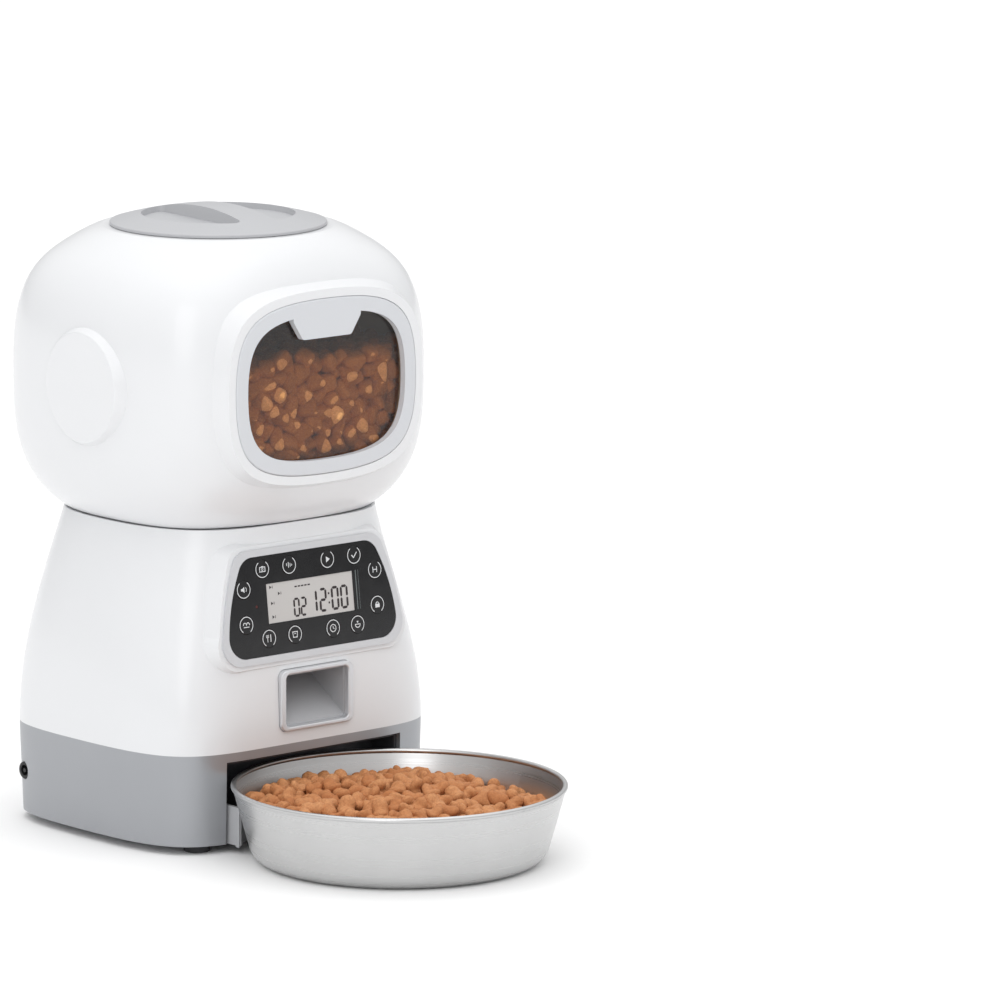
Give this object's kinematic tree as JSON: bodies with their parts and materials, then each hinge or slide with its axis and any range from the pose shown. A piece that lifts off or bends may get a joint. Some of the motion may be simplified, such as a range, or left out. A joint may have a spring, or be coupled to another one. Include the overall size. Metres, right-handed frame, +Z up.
{
  "type": "automatic pet feeder",
  "caption": "Round-headed dry food feeder with a smoke window, tilted control panel, food chute and a steel bowl that stands in a bay at its foot.",
  "frame": {"origin": "centre of the outline on the surface that the feeder stands on", "axes": "+Z up; front, with the panel and bowl, towards -Y; +X to the right seen from the front"},
  "size_m": [0.1924, 0.3077, 0.3088],
  "materials": {
    "white_shell": "gloss white moulded ABS",
    "silver_base": "satin silver-grey paint on moulded plastic",
    "window_frame": "satin light grey ABS",
    "smoke_pane": "clear smoke acrylic",
    "lid_grey": "satin grey ABS",
    "panel_black": "black gloss acrylic with printed marks",
    "panel_trim": "silver paint on moulded plastic",
    "lcd": "reflective liquid crystal glass",
    "key_cap": "black gloss acrylic with printed ring",
    "bowl_steel": "spun stainless steel, satin outside",
    "bay_dark": "dark grey moulded plastic",
    "grey_abs": "light grey moulded plastic",
    "inner_abs": "natural white moulded plastic",
    "rubber": "moulded rubber",
    "silicone": "soft silicone",
    "board": "green solder mask",
    "steel": "bright zinc plated steel",
    "gear_pom": "natural acetal",
    "brass": "turned brass",
    "cell": "wrapped cell can",
    "black_part": "black moulded plastic",
    "nonwoven": "nonwoven sachet",
    "led_lens": "red tinted lens"
  },
  "bodies": {
    "housing": {"base_plate": "grey_abs", "base_shell": "silver_base", "battery_cells": "cell", "battery_contacts": "steel", "battery_cradle": "black_part", "body_shell": "white_shell", "bowl_bay": "bay_dark", "bowl_locator": "grey_abs", "chute_duct": "grey_abs", "chute_trim": "panel_trim", "control_board": "board", "dc_jack": "black_part", "drop_guard": "inner_abs", "gearbox_lower": "black_part", "gearbox_screws": "steel", "gearbox_upper": "black_part", "housing_screws": "steel", "indicator_led": "led_lens", "key_switches": "black_part", "lcd_module": "lcd", "main_board": "board", "microphone": "steel", "motor": "steel", "panel_bezel": "panel_trim", "panel_lens": "panel_black", "rotor_chamber": "inner_abs", "rubber_feet": "rubber", "speaker": "black_part", "sweep_lip": "silicone"},
    "head": {"head_front_shell": "white_shell", "head_rear_shell": "white_shell", "ear_caps": "white_shell", "window_frame": "window_frame", "window_pane": "smoke_pane", "fill_collar": "inner_abs", "hopper_funnel": "inner_abs"},
    "lid_seal": {"lid_seal": "silicone"},
    "lid": {"lid": "lid_grey", "desiccant_box": "inner_abs", "desiccant_bag": "nonwoven"},
    "desiccant_cap": {"desiccant_cap": "lid_grey"},
    "bowl": {"bowl": "bowl_steel"},
    "rotor": {"portion_rotor": "gear_pom", "output_gear": "gear_pom"},
    "gear_a": {"compound_gear_a": "gear_pom"},
    "gear_b": {"compound_gear_b": "gear_pom"},
    "pinion": {"motor_pinion": "brass"},
    "battery_door": {"battery_door": "grey_abs"},
    "key_record": {"key_record": "key_cap"},
    "key_voice": {"key_voice": "key_cap"},
    "key_play": {"key_play": "key_cap"},
    "key_power": {"key_power": "key_cap"},
    "key_volume": {"key_volume": "key_cap"},
    "key_delete": {"key_delete": "key_cap"},
    "key_reset": {"key_reset": "key_cap"},
    "key_lock": {"key_lock": "key_cap"},
    "key_meal_count": {"key_meal_count": "key_cap"},
    "key_meal_size": {"key_meal_size": "key_cap"},
    "key_clock": {"key_clock": "key_cap"},
    "key_feed_now": {"key_feed_now": "key_cap"}
  },
  "joints": [
    {"name": "head_lift", "type": "slide", "parent": "housing", "child": "head", "axis": [0, 0, 1], "range_m": [0, 0.08]},
    {"name": "lid_lift", "type": "slide", "parent": "head", "child": "lid_seal", "axis": [0, 0, 1], "range_m": [0, 0.06]},
    {"name": "lid_twist", "type": "hinge", "parent": "lid_seal", "child": "lid", "pos_m": [0, 0.06745, 0.3], "axis": [0, 0, 1], "range_deg": [0, 25]},
    {"name": "desiccant_twist", "type": "hinge", "parent": "lid", "child": "desiccant_cap", "pos_m": [0, 0.06745, 0.286], "axis": [0, 0, 1], "range_deg": [0, 30]},
    {"name": "bowl_slide", "type": "slide", "parent": "housing", "child": "bowl", "axis": [0, -1, 0], "range_m": [0, 0.1]},
    {"name": "rotor_spin", "type": "hinge", "parent": "housing", "child": "rotor", "pos_m": [0, 0.08545, 0.13], "axis": [0, 0, 1], "continuous": true},
    {"name": "gear_a_spin", "type": "hinge", "parent": "housing", "child": "gear_a", "pos_m": [0.0096, 0.10208, 0.096], "axis": [0, 0, 1], "continuous": true},
    {"name": "gear_b_spin", "type": "hinge", "parent": "housing", "child": "gear_b", "pos_m": [-0.0096, 0.10208, 0.092], "axis": [0, 0, 1], "continuous": true},
    {"name": "pinion_spin", "type": "hinge", "parent": "housing", "child": "pinion", "pos_m": [-0.028, 0.10208, 0.09], "axis": [0, 0, 1], "continuous": true},
    {"name": "battery_door_slide", "type": "slide", "parent": "housing", "child": "battery_door", "axis": [0, 1, 0], "range_m": [0, 0.06]},
    {"name": "record_press", "type": "slide", "parent": "housing", "child": "key_record", "axis": [0, 0.9928, -0.1201], "range_m": [0, 0.0005], "stiffness_N_per_m": 900, "springref_m": -0.0005},
    {"name": "voice_press", "type": "slide", "parent": "housing", "child": "key_voice", "axis": [0, 0.9928, -0.1201], "range_m": [0, 0.0005], "stiffness_N_per_m": 900, "springref_m": -0.0005},
    {"name": "play_press", "type": "slide", "parent": "housing", "child": "key_play", "axis": [0, 0.9928, -0.1201], "range_m": [0, 0.0005], "stiffness_N_per_m": 900, "springref_m": -0.0005},
    {"name": "power_press", "type": "slide", "parent": "housing", "child": "key_power", "axis": [0, 0.9928, -0.1201], "range_m": [0, 0.0005], "stiffness_N_per_m": 900, "springref_m": -0.0005},
    {"name": "volume_press", "type": "slide", "parent": "housing", "child": "key_volume", "axis": [0, 0.9928, -0.1201], "range_m": [0, 0.0005], "stiffness_N_per_m": 900, "springref_m": -0.0005},
    {"name": "delete_press", "type": "slide", "parent": "housing", "child": "key_delete", "axis": [0, 0.9928, -0.1201], "range_m": [0, 0.0005], "stiffness_N_per_m": 900, "springref_m": -0.0005},
    {"name": "reset_press", "type": "slide", "parent": "housing", "child": "key_reset", "axis": [0, 0.9928, -0.1201], "range_m": [0, 0.0005], "stiffness_N_per_m": 900, "springref_m": -0.0005},
    {"name": "lock_press", "type": "slide", "parent": "housing", "child": "key_lock", "axis": [0, 0.9928, -0.1201], "range_m": [0, 0.0005], "stiffness_N_per_m": 900, "springref_m": -0.0005},
    {"name": "meal_count_press", "type": "slide", "parent": "housing", "child": "key_meal_count", "axis": [0, 0.9928, -0.1201], "range_m": [0, 0.0005], "stiffness_N_per_m": 900, "springref_m": -0.0005},
    {"name": "meal_size_press", "type": "slide", "parent": "housing", "child": "key_meal_size", "axis": [0, 0.9928, -0.1201], "range_m": [0, 0.0005], "stiffness_N_per_m": 900, "springref_m": -0.0005},
    {"name": "clock_press", "type": "slide", "parent": "housing", "child": "key_clock", "axis": [0, 0.9928, -0.1201], "range_m": [0, 0.0005], "stiffness_N_per_m": 900, "springref_m": -0.0005},
    {"name": "feed_now_press", "type": "slide", "parent": "housing", "child": "key_feed_now", "axis": [0, 0.9928, -0.1201], "range_m": [0, 0.0005], "stiffness_N_per_m": 900, "springref_m": -0.0005}
  ],
  "couplings": [
    {"joint": "gear_a_spin", "follows": "rotor_spin", "ratio": -3},
    {"joint": "gear_b_spin", "follows": "rotor_spin", "ratio": 9},
    {"joint": "pinion_spin", "follows": "rotor_spin", "ratio": -32.4}
  ]
}
